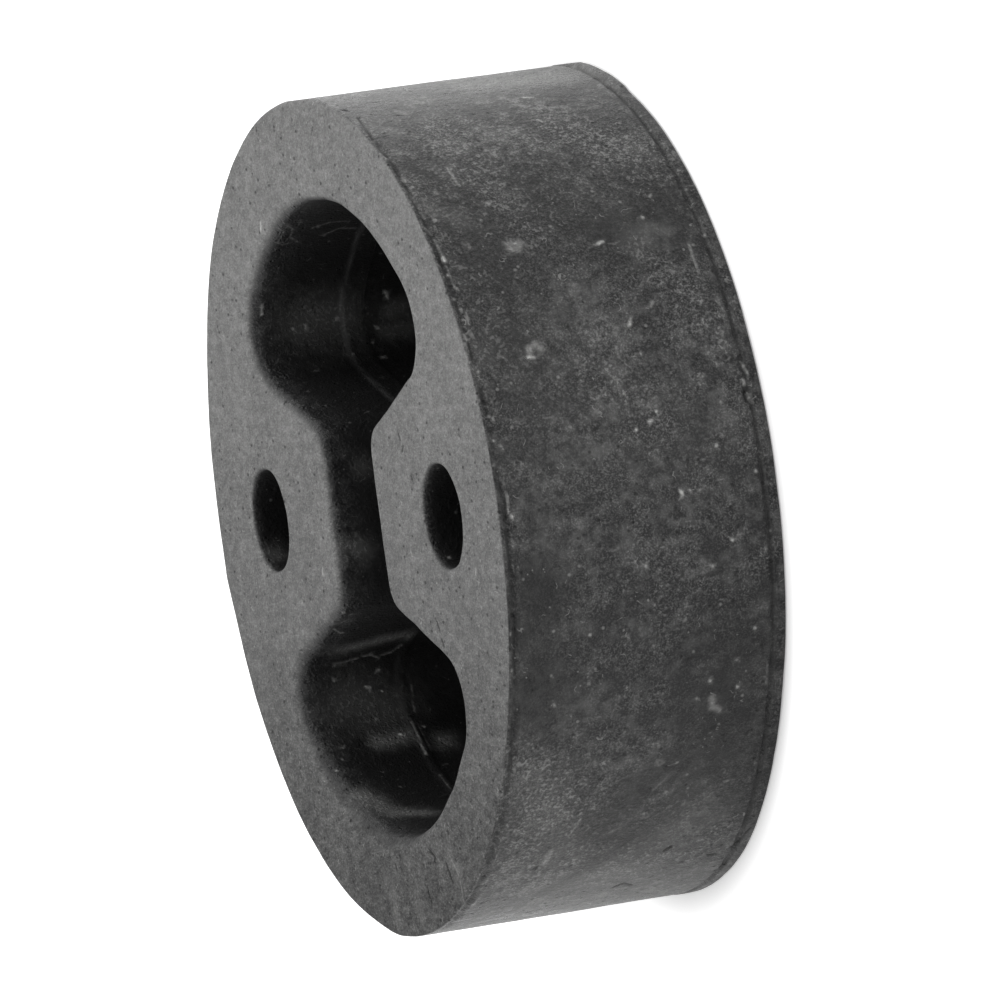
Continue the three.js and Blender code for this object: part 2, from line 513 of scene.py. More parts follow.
def add_sheet(outline, heights, relief, flip):
    """Adds a closed wall to the skin, and returns the index of each of its points."""
    points, normals = outline
    flat = np.broadcast_to(points[None], (len(heights), *points.shape)).reshape(-1, 2)
    into = np.broadcast_to(normals[None], (len(heights), *points.shape)).reshape(-1, 2)
    tall = np.repeat(heights, len(points))
    base = np.column_stack((flat, tall))
    placed = base.copy()
    placed[:, :2] += relief(base)[:, None] * into
    first = sum(len(v) for v in vertices)
    vertices.append(placed)
    index = first + np.arange(len(placed)).reshape(len(heights), len(points))
    low, high = index[:-1], index[1:]
    quads = np.stack((low, np.roll(low, -1, 1), np.roll(high, -1, 1), high), -1).reshape(-1, 4)
    faces.extend((quads[:, ::-1] if flip else quads).tolist())
    return index


side = add_sheet(rim, heights_of_rows(side_lip_rows), side_relief, False)
rib_place = (thickness - rib_from_front, 1.7)
opening_wall = add_sheet(opening, heights_of_rows(wall_lip_rows, (rib_place,)), opening_relief, True)
pin_walls = [add_sheet(hole, heights_of_rows(wall_lip_rows), pin_relief, True) for hole in pin_holes]
print(f"sheets: side {side.shape}, opening {opening_wall.shape}, pin hole {pin_walls[0].shape}")

# %% Fill the two faces
front_face_step = 0.52
back_face_step = 0.9


def within(outline, points):
    """Which points lie inside a closed outline, by counting the edges that a ray crosses."""
    start, end = outline, np.roll(outline, -1, 0)
    x, y = points[:, :1], points[:, 1:]
    crosses = (start[:, 1] > y) != (end[:, 1] > y)
    rise = np.where(end[:, 1] == start[:, 1], 1, end[:, 1] - start[:, 1])
    meets = start[:, 0] + (y - start[:, 1]) / rise * (end[:, 0] - start[:, 0])
    return (crosses & (x < meets)).sum(1) % 2 == 1


def honeycomb(step):
    """Points over a square that holds the disc, each row moved half a step along."""
    row_height = step * math.sqrt(3) / 2
    rows = np.arange(-outer_radius, outer_radius, row_height)
    columns = np.arange(-outer_radius, outer_radius, step)
    return np.array([(x + i % 2 * step / 2, y) for i, y in enumerate(rows) for x in columns])


def fill_face(row, step, upwards):
    """Triangles between the rim's row and the rows of the holes, on one flat face."""
    loops = [grid[row] for grid in (side, opening_wall, *pin_walls)]
    skin = np.vstack(vertices)
    rims = [skin[loop][:, :2] for loop in loops]
    inner = honeycomb(step)
    inner = inner[within(rims[0], inner) & ~np.any([within(rim, inner) for rim in rims[1:]], 0)]
    edge_points = np.vstack(rims)
    nearest = np.array([((edge_points - p) ** 2).sum(1).min() for p in inner])
    inner = inner[nearest > (0.6 * step) ** 2]
    starts = np.cumsum([0] + [len(loop) for loop in loops])
    edges = [(int(a + i), int(a + (i + 1) % (b - a)))
             for a, b in zip(starts, starts[1:]) for i in range(b - a)]
    points = [Vector(p) for p in np.vstack((edge_points, inner))]
    placed, _, triangles, sources, _, _ = delaunay_2d_cdt(points, edges, [], 0, 1e-6)
    vertices.append(np.column_stack((inner, np.full(len(inner), skin[loops[0][0]][2]))))
    index = np.concatenate((*loops, len(skin) + np.arange(len(inner))))
    centres = np.array([tuple(p) for p in placed])[np.array(triangles)].mean(1)
    in_hole = np.any([within(rim, centres) for rim in rims[1:]], 0)
    for triangle, left_out in zip(triangles, in_hole):
        if not left_out:
            corners = [int(index[sources[i][0]]) for i in triangle]
            faces.append(corners if upwards else corners[::-1])


fill_face(0, back_face_step, False)
fill_face(-1, front_face_step, True)
print(f"skin: {sum(len(v) for v in vertices)} points, {len(faces)} faces")

# %% [markdown]
# Marks from the photograph.
# Every used part has its own marks, and the eye looks for them. Each is placed by the pixel where
# the photograph shows it. A ray from the camera through that pixel finds the place on the rubber,
# and from there on the mark belongs to the part: it has a width and a depth in millimetres.
# A few entries paint sheen, light and shade instead, and say so.

# %% Kinds of mark
mark_kinds = {
    # width and lift in millimetres, and how much paler (above 0) or darker (below 0) it looks
    "cut": {"width": 0.2, "lift": -0.3, "tone": -1.0},
    "nick": {"width": 0.13, "lift": -0.12, "tone": -0.9},
    "scratch": {"width": 0.1, "lift": -0.04, "tone": 0.4},
    "fine_scratch": {"width": 0.08, "lift": -0.03, "tone": 0.2},
    "fleck": {"width": 0.14, "lift": 0.05, "tone": 1.0},
    "dust": {"width": 0.13, "lift": 0.02, "tone": 0.55},
    "blister": {"width": 0.28, "lift": 0.05, "tone": 0.22, "ring": True},
    "scab": {"width": 0.3, "lift": 0.06, "tone": 0.4},
    "smudge": {"width": 0.9, "lift": 0.0, "tone": 0.1},
    "haze": {"width": 1.0, "lift": 0.0, "tone": 0.2},
    "faint_cloud": {"width": 3.0, "lift": 0.0, "tone": 0.03},
    "cloud": {"width": 2.6, "lift": 0.0, "tone": 0.1},
    "bright_sheen_cloud": {"width": 3.0, "lift": 0.0, "tone": 0.3},
    "wet_patch": {"width": 0.9, "lift": 0.0, "tone": -0.6},
    "wide_wet_patch": {"width": 1.9, "lift": 0.0, "tone": -0.5},
    # Broad dark fields are partly painted shade, where the side reflects less light.
    "dark_and_shaded_field": {"width": 4.5, "lift": 0.0, "tone": -0.6},
    "gritty_field": {"width": 4.0, "lift": 0.0, "tone": 0.0, "grit": 0.8},
    "gritty_patch": {"width": 1.6, "lift": 0.0, "tone": 0.0, "grit": 0.6},
    "flash": {"width": 0.11, "lift": 0.14, "tone": 0.22},
    "bead": {"width": 0.18, "lift": 0.1, "tone": 0.35},
}
print(f"kinds of mark: {len(mark_kinds)}")

# %% Marks on the side
side_marks = {
    "torn crack at the back seam": ("cut", [(745, 385), (746, 392), (748, 400)]),
    "torn edge above the crack": ("scratch", [(741, 362), (744, 368), (748, 374)]),
    "rubber curled up at the crack": ("fleck", [(744, 380), (745, 383)]),
    "thin edge below the crack": ("scratch", [(749, 394), (752, 403)]),
    "open seam at the lower right": ("nick", [(751, 829), (742, 839), (731, 848)]),
    "open seam at the bottom": ("nick", [(727, 863), (716, 871)]),
    "crescent at the upper left": ("scab", [(507, 244), (511, 248), (518, 248), (521, 243)]),
    "body of the crescent": ("scab", [(512, 244), (518, 243)]),
    "bright edge of the crescent": ("scratch", [(507, 243), (509, 248), (514, 250), (518, 249)]),
    "grit behind the upper rim": ("gritty_field", [(425, 190), (450, 225), (480, 290), (505, 350)]),
    "grit at the upper left": ("gritty_field", [(445, 130), (480, 185), (520, 215), (560, 190)]),
    "grit in the middle of the top": ("gritty_field", [(540, 120), (600, 140), (650, 170)]),
    "grit near the crack": ("gritty_patch", [(645, 250), (665, 280), (690, 300), (720, 345)]),
    "grit below the crescent": ("gritty_patch", [(590, 345), (600, 380), (640, 400)]),
    "grit at the lower left": ("gritty_field", [(525, 775), (530, 830), (520, 880)]),
    "grit at the bottom": ("gritty_field", [(560, 800), (580, 860), (640, 865)]),
    "grit at the lower right": ("gritty_patch", [(668, 800), (680, 820), (700, 800), (720, 780)]),
    "grit at the lower back": ("gritty_patch", [(650, 868), (690, 855), (715, 830)]),
    "round scab in the middle": ("scab", [(530, 355), (529, 348), (536, 344), (541, 349)]),
    "scab's pale foot": ("fleck", [(528, 357), (534, 357)]),
    "bright chip": ("fleck", [(598, 243), (603, 241)]),
    "root of the bright chip": ("scratch", [(594, 244), (599, 244)]),
    "curl beside the chip": ("fine_scratch", [(609, 243), (615, 243), (620, 240)]),
    "pale patch": ("smudge", [(642, 237), (650, 230), (664, 230)]),
    "streak near the back": ("scratch", [(689, 243), (693, 256), (699, 272)]),
    "upright fleck": ("fleck", [(630, 321), (629, 325)]),
    "tip of the upright fleck": ("scratch", [(632, 316), (630, 321)]),
    "small upright fleck": ("dust", [(653, 301), (651, 306)]),
    "long curl": ("fine_scratch", [(616, 346), (619, 356), (625, 363), (632, 368)]),
    "crescent right": ("blister", [(665, 389)]),
    "chip 1": ("fleck", [(649, 422), (652, 420)]),
    "chip 2": ("fleck", [(636, 430)]),
    "dot beside chip 2": ("nick", [(633, 427)]),
    "chip 3": ("fleck", [(656, 411)]),
    "chip 4": ("dust", [(571, 427)]),
    "chip 5": ("fleck", [(717, 445)]),
    "dot beside chip 5": ("nick", [(719, 440)]),
    "dot below the crescent": ("nick", [(699, 442)]),
    "soft dark dot": ("nick", [(593, 430), (596, 428)]),
    "chip 6": ("dust", [(641, 353)]),
    "chip 7": ("dust", [(703, 376)]),
    "chip 8": ("smudge", [(684, 409)]),
    "chip 9": ("dust", [(721, 402)]),
    "chip 10": ("fleck", [(690, 490)]),
    "chip 11": ("fleck", [(683, 495), (681, 491)]),
    "chip 12": ("dust", [(700, 490)]),
    "chip 13": ("fleck", [(733, 540)]),
    "chip 14": ("fleck", [(646, 566)]),
    "chip 15": ("dust", [(660, 570)]),
    "chip 16": ("fleck", [(713, 566)]),
    "chip 17": ("fleck", [(756, 471)]),
    "chip 18": ("dust", [(680, 292)]),
    "chip 19": ("dust", [(640, 116)]),
    "chip 20": ("dust", [(650, 130)]),
    "chip 21": ("dust", [(650, 196)]),
    "chip 22": ("fleck", [(643, 217)]),
    "chip 23": ("dust", [(686, 189)]),
    "chip 24": ("dust", [(704, 235)]),
    "chip 25": ("fleck", [(755, 628)]),
    "chip 26": ("fleck", [(710, 681)]),
    "chip 27": ("fleck", [(738, 687)]),
    "chip 28": ("dust", [(697, 699)]),
    "chip 29": ("dust", [(737, 660)]),
    "chip 30": ("dust", [(686, 619)]),
    "chip 31": ("smudge", [(644, 630)]),
    "hook": ("fine_scratch", [(622, 637), (627, 636), (630, 639)]),
    "chip 32": ("dust", [(654, 646)]),
    "chip 33": ("dust", [(590, 635)]),
    "chip 34": ("dust", [(589, 684)]),
    "chip 35": ("dust", [(554, 705)]),
    "pale streak at the upper left": ("smudge", [(440, 213), (452, 216), (462, 221)]),
    "pale bar at the top": ("fleck", [(523, 97), (531, 97)]),
    "pale bar below it": ("dust", [(537, 119), (542, 121)]),
    # The next three pale clouds at the top edge of the side are partly painted sheen, where it turns away.
    "bright cloud behind the rim": ("smudge", [(372, 126), (384, 127), (398, 132)]),
    "cloud at the top": ("cloud", [(440, 100), (480, 95)]),
    "bright cloud at the top": ("bright_sheen_cloud", [(480, 86), (560, 76)]),
    "chipped plate": ("scab", [(712, 698), (713, 707), (719, 709)]),
    "scratch 1": ("scratch", [(546, 762), (542, 773)]),
    "scratch 1 continued": ("fine_scratch", [(541, 776), (539, 792)]),
    "scratch 2": ("fine_scratch", [(591, 752), (585, 767)]),
    "scratch 3": ("scratch", [(581, 820), (575, 829), (570, 836)]),
    "scuffed bar": ("scab", [(551, 851), (544, 864)]),
    "scratch 4": ("fine_scratch", [(667, 778), (660, 785), (653, 791)]),
    "scratch 5": ("fine_scratch", [(630, 776), (617, 782)]),
    "blister 1": ("blister", [(656, 746)]),
    "blister 2": ("blister", [(660, 763)]),
    "blister 3": ("blister", [(646, 815)]),
    "nick 1": ("nick", [(686, 660), (693, 658)]),
    "nick 2": ("nick", [(748, 732), (753, 730)]),
    "nick 3": ("nick", [(712, 728), (717, 726)]),
    "nick 4": ("cut", [(665, 852), (671, 848)]),
    "nick 5": ("nick", [(708, 856), (716, 855)]),
    "nick 6": ("nick", [(681, 863), (684, 863)]),
    "nick 7": ("nick", [(535, 869), (539, 867)]),
    "torn bit at the bottom": ("nick", [(616, 887), (624, 884), (632, 886)]),
    "pale band in the middle": ("faint_cloud", [(525, 470), (640, 455), (760, 435)]),
    "pale band above it": ("faint_cloud", [(540, 410), (650, 395)]),
    "pale zone at the lower right": ("cloud", [(672, 835), (700, 815)]),
    "pale zone at the bottom": ("cloud", [(560, 885), (640, 870)]),
    "pale zone at the left": ("cloud", [(530, 780), (560, 850)]),
    "wet sweep": ("wide_wet_patch", [(690, 748), (652, 778), (622, 806), (592, 833)]),
    "second wet sweep": ("wet_patch", [(600, 858), (570, 880), (545, 893)]),
    "wet bay at the bottom": ("wide_wet_patch", [(690, 790), (668, 812)]),
    "wet corner": ("wide_wet_patch", [(628, 840), (648, 836)]),
    # The four dark fields are partly painted shade, where the side reflects less light.
    "dark field at the upper left": ("dark_and_shaded_field", [(455, 215), (500, 290), (520, 350)]),
    "dark field at the top": ("dark_and_shaded_field", [(545, 195), (610, 230), (660, 200)]),
    "dark field at the lower left": ("dark_and_shaded_field", [(530, 590), (535, 700)]),
    "dark field at the lower right": ("dark_and_shaded_field", [(735, 650), (715, 760)]),
    "wet patch 1": ("wide_wet_patch", [(538, 294)]),
    "wet patch 2": ("wet_patch", [(600, 229), (612, 236)]),
    "wet patch 3": ("wet_patch", [(626, 255), (640, 268)]),
    "wet patch 4": ("wet_patch", [(572, 336), (580, 342)]),
    "wet patch 5": ("wide_wet_patch", [(420, 172), (438, 182)]),
    "wet patch 6": ("wide_wet_patch", [(440, 235), (468, 290), (483, 340)]),
    "wet patch 7": ("wide_wet_patch", [(545, 186)]),
    "wet patch 8": ("wide_wet_patch", [(520, 600), (532, 650), (525, 720)]),
    "wet patch 9": ("wide_wet_patch", [(716, 745), (735, 700)]),
}
print(f"marks on the side: {len(side_marks)}")

# %% Marks behind the front rim
rim_marks = {
    # The first two are dents that are darkened partly as painted shade in the rim's groove.
    "dark start of the rim's groove": ("nick", [(358, 117), (365, 127), (373, 139)]),
    "dark smudge at the top of the rim": ("nick", [(343, 109), (349, 110)]),
    "bead 1": ("dust", [(358, 122)]),
    "bead 2": ("bead", [(384, 157), (387, 159)]),
    "bead 3": ("bead", [(402, 178), (405, 181)]),
    "bead 4": ("dust", [(413, 186)]),
    "strand 1": ("flash", [(421, 213), (425, 219)]),
    "strand 2": ("flash", [(431, 216), (437, 221)]),
    "strand 3": ("flash", [(425, 228), (431, 235)]),
    "strand 4": ("flash", [(434, 240), (439, 249), (446, 262)]),
    "strand 5": ("scratch", [(447, 167), (453, 175), (458, 184)]),
    "strand 6": ("fine_scratch", [(462, 183), (470, 179), (476, 184)]),
    "strand 7": ("fine_scratch", [(404, 187), (411, 196), (417, 205)]),
    "strand 8": ("fine_scratch", [(446, 266), (450, 275), (455, 288)]),
    "crumb behind the rim 1": ("dust", [(435, 220)]),
    "crumb behind the rim 2": ("dust", [(437, 193)]),
    "crumb behind the rim 3": ("fleck", [(443, 258), (445, 261)]),
    "crumb behind the rim 4": ("dust", [(448, 275)]),
    "crumb behind the rim 5": ("dust", [(454, 299)]),
    "crumb behind the rim 6": ("dust", [(460, 309)]),
    "crumb behind the rim 7": ("dust", [(470, 247)]),
    "crumb behind the rim 8": ("dust", [(481, 219)]),
    "crumb behind the rim 9": ("dust", [(487, 202)]),
    "crumb behind the rim 10": ("dust", [(465, 335), (467, 340)]),
    "crumb behind the rim 11": ("dust", [(478, 372)]),
    "crumb behind the rim 12": ("dust", [(489, 416)]),
    "bead 5": ("bead", [(494, 465)]),
    "bead 6": ("dust", [(494, 441)]),
    "bead 7": ("dust", [(501, 446)]),
    "bead 8": ("fleck", [(512, 517)]),
    "bead 9": ("scratch", [(508, 509), (509, 513)]),
    "bead 10": ("nick", [(505, 514), (506, 519)]),
    "bead 11": ("dust", [(511, 634)]),
    "bead 12": ("dust", [(512, 671)]),
}
print(f"marks behind the front rim: {len(rim_marks)}")

# %% Marks on the face
face_marks = {
    "bright fleck at the upper left": ("fleck", [(260, 223), (260, 231)]),
    "fine upright line": ("fine_scratch", [(286, 180), (287, 194)]),
    "grain of dust 1": ("dust", [(304, 115)]),
    "grain of dust 2": ("dust", [(342, 155)]),
    "grain of dust 3": ("dust", [(425, 289)]),
    "grain of dust 4": ("dust", [(322, 568), (322, 575)]),
    "grain of dust 5": ("dust", [(475, 569), (475, 575)]),
    "pit 1": ("nick", [(311, 130)]),
    "pit 2": ("nick", [(282, 109)]),
    "pit 3": ("nick", [(291, 120)]),
    "pit 4": ("nick", [(397, 434), (399, 440)]),
    "pit 5": ("nick", [(402, 446), (401, 452)]),
    "pit 6": ("nick", [(436, 622), (439, 632)]),
    "pit 7": ("nick", [(441, 640), (443, 647)]),
    "pit 8": ("nick", [(409, 914)]),
    "pit 9": ("nick", [(411, 892)]),
    "pit 10": ("nick", [(425, 880)]),
    "pit 11": ("nick", [(399, 857)]),
    "pit 12": ("nick", [(377, 873)]),
    "pit 13": ("nick", [(441, 859)]),
    "pit 14": ("nick", [(394, 864), (396, 871)]),
    "pit 15": ("nick", [(428, 851), (434, 858)]),
    "rubbed streak": ("smudge", [(448, 855), (454, 866), (459, 878)]),
    "rubbed streak's edge": ("scratch", [(449, 857), (458, 876)]),
    "furrow beside it": ("nick", [(445, 864), (452, 883)]),
    "rubbed streak continued": ("scratch", [(459, 880), (461, 892)]),
    "fine furrow": ("nick", [(426, 887), (431, 904)]),
    "rubbed patch 1": ("smudge", [(392, 892), (396, 916)]),
    "rubbed patch 2": ("smudge", [(418, 902), (422, 917)]),
}
print(f"marks on the face: {len(face_marks)}")

# %% Marks in the opening and the pin holes
opening_marks = {
    "ragged fin under the left boss 1": ("flash", [(334, 664), (345, 662), (358, 658)]),
    "ragged fin under the left boss 2": ("flash", [(362, 656), (372, 655), (379, 658)]),
    "ragged fin under the left boss 3": ("flash", [(382, 655), (392, 652), (402, 645)]),
    # Partly painted light: the flank nearest the front face is lighter where it catches the light.
    "pale flank under the left boss": ("haze", [(345, 650), (375, 642), (402, 636)]),
    "nub on the left boss 1": ("bead", [(344, 613)]),
    "nub on the left boss 2": ("bead", [(351, 615)]),
    "nub on the left boss 3": ("smudge", [(342, 622)]),
    "edge of the nub": ("scratch", [(334, 630), (340, 634)]),
    "rib's bright edge": ("scratch", [(412, 721), (418, 736), (426, 754)]),
    "rib's second edge": ("fine_scratch", [(415, 719), (424, 735), (431, 750)]),
    "rib's upper end": ("fine_scratch", [(411, 685), (413, 700), (415, 712)]),
    "rib's lower end": ("fine_scratch", [(440, 774), (449, 786)]),
    "pale bar in the lower lobe": ("haze", [(380, 741), (392, 738), (403, 735)]),
    "bright spot on the bar": ("fleck", [(400, 734), (404, 734)]),
    "pale spot right of the rib": ("haze", [(446, 740)]),
    "crumb 1": ("dust", [(379, 670)]),
    "crumb 2": ("dust", [(382, 691)]),
    "crumb 3": ("dust", [(366, 687), (371, 688)]),
    "crumb 4": ("dust", [(376, 719)]),
    "crumb 5": ("dust", [(424, 726)]),
    "crumb 6": ("dust", [(334, 681)]),
    "crumb 7": ("dust", [(343, 747)]),
    "crumb 8": ("dust", [(336, 770)]),
    "haze in the lower lobe": ("cloud", [(352, 700), (385, 712)]),
    # Painted light: the band of the rubbed lip nearest the front face, where it catches the light.
    "painted light on the rubbed lip": ("haze", [(362, 792), (392, 812), (425, 812)]),
    "white crumb in the upper lobe": ("dust", [(386, 292), (388, 298)]),
    "crumb on the left lip": ("dust", [(262, 306), (262, 315)]),
    "crumb 9": ("fine_scratch", [(321, 306), (328, 313)]),
    "crumb 10": ("dust", [(306, 325)]),
    "crumb 11": ("dust", [(337, 319)]),
    "crumb 12": ("dust", [(293, 329)]),
    "crumb 13": ("dust", [(378, 328)]),
    "crumb 14": ("dust", [(373, 342)]),
    "crumb 15": ("dust", [(382, 357)]),
    "haze in the upper lobe": ("cloud", [(305, 318), (338, 316)]),
    "haze right of the rib": ("smudge", [(388, 312), (402, 306)]),
    "pale bar in the upper lobe": ("smudge", [(385, 331), (396, 329), (407, 327)]),
    "cracked patch 1": ("fine_scratch", [(276, 228), (284, 232), (280, 240)]),
    "cracked patch 2": ("fine_scratch", [(286, 226), (293, 230), (290, 238), (298, 243)]),
    "cracked patch 3": ("fine_scratch", [(274, 242), (283, 246), (292, 243)]),
    "arc at the top 1": ("fine_scratch", [(311, 229), (330, 223), (350, 222)]),
    "arc at the top 2": ("fine_scratch", [(322, 236), (340, 229), (356, 229)]),
    "smudge in the neck 1": ("smudge", [(363, 466)]),
    "smudge in the neck 2": ("smudge", [(344, 546), (364, 549)]),
    "pale spot in the left hole": ("smudge", [(276, 553)]),
    "crumb in the right hole 1": ("dust", [(438, 469)]),
    "crumb in the right hole 2": ("dust", [(449, 557)]),
}
print(f"marks in the opening and the pin holes: {len(opening_marks)}")

# %% Find each mark on the rubber
pixels_between_rays = 5
skin = np.vstack(vertices)
tree_of_faces = BVHTree.FromPolygons(skin.tolist(), faces)


def on_the_rubber(pixel):
    """The place and the normal where the ray through a pixel meets the rubber, in millimetres."""
    right = (pixel[0] - picture_size / 2) / focal_pixels
    down = (pixel[1] - picture_size / 2) / focal_pixels
    ray = right * picture_right - down * picture_up - towards_camera
    place, normal, _, _ = tree_of_faces.ray_cast(camera_place, ray)
    return place, normal


def trace(pixels):
    """Places along a line of pixels, close enough together to follow the surface."""
    stops = [np.array(p, float) for p in pixels]
    line = [stops[0]]
    for start, end in zip(stops, stops[1:]):
        count = max(1, round(float(np.linalg.norm(end - start)) / pixels_between_rays))
        line += [start + (end - start) * i / count for i in range(1, count + 1)]
    hits = [on_the_rubber(p) for p in line]
    return [(place, normal) for place, normal in hits if place is not None]


marks = []
for name, (kind, pixels) in {**side_marks, **rim_marks, **face_marks, **opening_marks}.items():
    hits = trace(pixels)
    if not hits:
        print(f"mark off the rubber: {name}")
        continue
    normal = sum((n for _, n in hits), Vector()).normalized()
    marks.append((np.array([tuple(p) for p, _ in hits]), np.array(normal), mark_kinds[kind]))
print(f"marks: {len(marks)} found on the rubber")


# %% Distance from points to a mark
def distance_to_line(points, line):
    """Distance from each point to a line of straight pieces, or to its single point."""
    if len(line) == 1:
        return np.linalg.norm(points - line[0], axis=1)
    best = np.full(len(points), np.inf)
    for start, end in zip(line, line[1:]):
        along = end - start
        length = max(float(along @ along), 1e-9)
        share = np.clip(((points - start) @ along) / length, 0, 1)
        best = np.minimum(best, np.linalg.norm(points - start - share[:, None] * along, axis=1))
    return best


def close_points(points, line, reach):
    """The indices of the points that may lie within reach of a mark."""
    low, high = line.min(0) - reach, line.max(0) + reach
    return np.nonzero(np.all((points > low) & (points < high), 1))[0]


print(f"first mark: {len(close_points(skin, marks[0][0], 1.0))} points within a millimetre")

# %% [markdown]
# A finer mesh where it counts.
# The whole skin is about half a millimetre from point to point, which is enough for its swells and
# lips but not for a thin cut. Only the edges near the small marks are split, twice, so the mesh
# stays light everywhere else.

# %% Split the edges near the small marks
finest_edge = 0.1
rounds_of_splitting = 2
shape_marks = [mark for mark in marks if mark[2]["lift"] != 0]

body = bmesh.new()
for point in skin:
    body.verts.new(point)
body.verts.ensure_lookup_table()
for face in faces:
    body.faces.new([body.verts[i] for i in face])
for _ in range(rounds_of_splitting):
    body.verts.index_update()
    edges = list(body.edges)
    ends = np.array([[v.co[:] for v in edge.verts] for edge in edges])
    middles = ends.mean(1)
    long_enough = np.linalg.norm(ends[:, 0] - ends[:, 1], axis=1) > 2 * finest_edge
    chosen = set()
    for line, _, kind in shape_marks:
        near = close_points(middles, line, 3 * kind["width"])
        near = near[long_enough[near]]
        chosen.update(near[distance_to_line(middles[near], line) < 1.6 * kind["width"] + 0.2].tolist())
    bmesh.ops.subdivide_edges(body, edges=[edges[i] for i in chosen], cuts=1, use_grid_fill=True)
many_sided = [face for face in body.faces if len(face.verts) > 4]
bmesh.ops.triangulate(body, faces=many_sided)
body.normal_update()
points = np.array([v.co[:] for v in body.verts])
normals = np.array([v.normal[:] for v in body.verts])
print(f"refined: {len(points)} points, {sum(len(f.verts) - 2 for f in body.faces)} triangles")

# %% [markdown]
# Pushing the marks in.
# A sculptor would drag each nick into the clay. Here each point near a mark moves along its normal,
# most in the middle of the mark and less towards its edge, and a ragged edge keeps the mark from
# looking drawn. The same distance gives each point its value of pale, dark or grit for the material.

# %% Push the marks and the swells into the rubber
swells = {7.0: 0.04, 2.1: 0.02, 0.9: 0.012}  # their size and half their depth in millimetres
lift = sum(half * (smooth_noise(points, size, 9 * size) - 1) for size, half in swells.items())
ragged = 1 + 0.5 * smooth_noise(points, 0.35, 29.7)
pale, dark = side_wear_and_painted_light(points, normals)
grit = np.zeros(len(points))
for line, normal, kind in marks:
    width = kind["width"]
    near = close_points(points, line, 3 * width)
    near = near[normals[near] @ normal > 0.25]
    reach = distance_to_line(points[near], line) / (width * ragged[near])
    strength = np.exp(-(reach**2))
    if kind.get("ring"):
        strength = np.exp(-(((reach - 1) / 0.45) ** 2))
    lift[near] += kind["lift"] * strength
    grit[near] = np.maximum(grit[near], kind.get("grit", 0) * strength)
    if kind["tone"] > 0:
        pale[near] = np.maximum(pale[near], kind["tone"] * strength)
    else:
        dark[near] = np.maximum(dark[near], -kind["tone"] * strength)

placed = points + lift[:, None] * normals
placed[:, 2] = np.clip(placed[:, 2], 0, thickness)
placed[:, :2] = np.clip(placed[:, :2], -outer_radius, outer_radius)
for vertex, place in zip(body.verts, placed):
    vertex.co = place * MM
print(f"pushed: from {lift.min():.2f} to {lift.max():.2f} mm along the normals")

# %% Make the object, with a value at each point for the material
from_axis = np.linalg.norm(points[:, :2], axis=1)
face_share = smooth_step(np.abs(normals[:, 2]), 0.45, 0.97)
wall_share = (1 - face_share) * smooth_step(from_axis, outer_radius - 3, outer_radius - 5)
# Painted shade: the hole walls are painted darker with depth below either face, and reach full depth sooner
# in the narrow pin holes.
from_a_face = np.minimum(points[:, 2], thickness - points[:, 2])
from_pin = np.hypot(np.abs(points[:, 0]) - pin_spacing / 2, points[:, 1])
black_from = np.where(from_pin < pin_hole_diameter / 2 + 1, 1.2, 4.0)  # narrow holes blacken sooner
painted_shade_depth = wall_share * smooth_step(from_a_face / black_from, 0.05, 1)

mesh = bpy.data.meshes.new("rubber_body")
body.to_mesh(mesh)
body.free()
for polygon in mesh.polygons:
    polygon.use_smooth = True
for name, values in {"pale_marks_and_light": pale, "dark_marks_and_shade": dark, "gritty": grit, "on_a_face": face_share,
                     "in_a_hole": wall_share, "painted_shade_in_holes": painted_shade_depth}.items():
    mesh.attributes.new(name, "FLOAT", "POINT").data.foreach_set("value", values)
rubber_body = bpy.data.objects.new("rubber_body", mesh)
bpy.context.scene.collection.objects.link(rubber_body)
print(f"rubber_body: {len(mesh.polygons)} faces, {len(mesh.attributes)} attributes")

# %% [markdown]
# Moulded black rubber.
# The part is carbon-black natural rubber, pressed and cured in a steel mould. That gives the eye a
# very dark, matt skin, with a sheen only where we look along it. With age, wax and sulphur creep out
# as a grey bloom, thicker on the two faces than on the side, and hands and road dirt rub it into
# patches and grains. So the colour is a mix of black rubber and grey bloom, and one amount drives
# both colour and roughness, because bloom is rougher than clean rubber.
# Part of the colour is painted light and shade: the face grows paler towards the top, the side has painted
# sheen and shade near its rims, and the holes darken with depth.

# %% Colours and sizes of the finish
clean_rubber = linear("#151516")
grey_bloom = linear("#8a8a89")
# Pale for scars, flecks and flash, and for painted light and sheen.
pale_for_scars_and_light = linear("#c4c4c2")
# Near-black for pits, stains and dark marks, and for the painted shade deep in the holes.
dirt_and_shade_black = linear("#060606")
rubber_ior = 1.46  # clean rubber is 1.52, and road film takes a little of its shine
patch_size = 6.0  # millimetres, for bloom that was wiped by hand
blotch_size = 1.1
grain_size = 0.3  # real grains are finer, but these are as fine as the picture shows
grit_size = 0.32  # road grit that was pressed into the skin, in the fields that the marks name
zone_size = 3.2  # areas where the grain is strong or has been rubbed smooth
fleck_size = 1.1
fine_fleck_size = 0.6
pit_size = 0.8
strand_size = 1.7
stain_size = 0.9
pit_darkness = 0.75
stain_darkness = 0.6
fleck_paleness = 0.3
bump_depth = 0.08  # millimetres between the lowest and the highest grain
print(f"finish: IOR {rubber_ior}, patterns from {grain_size} to {patch_size} mm")

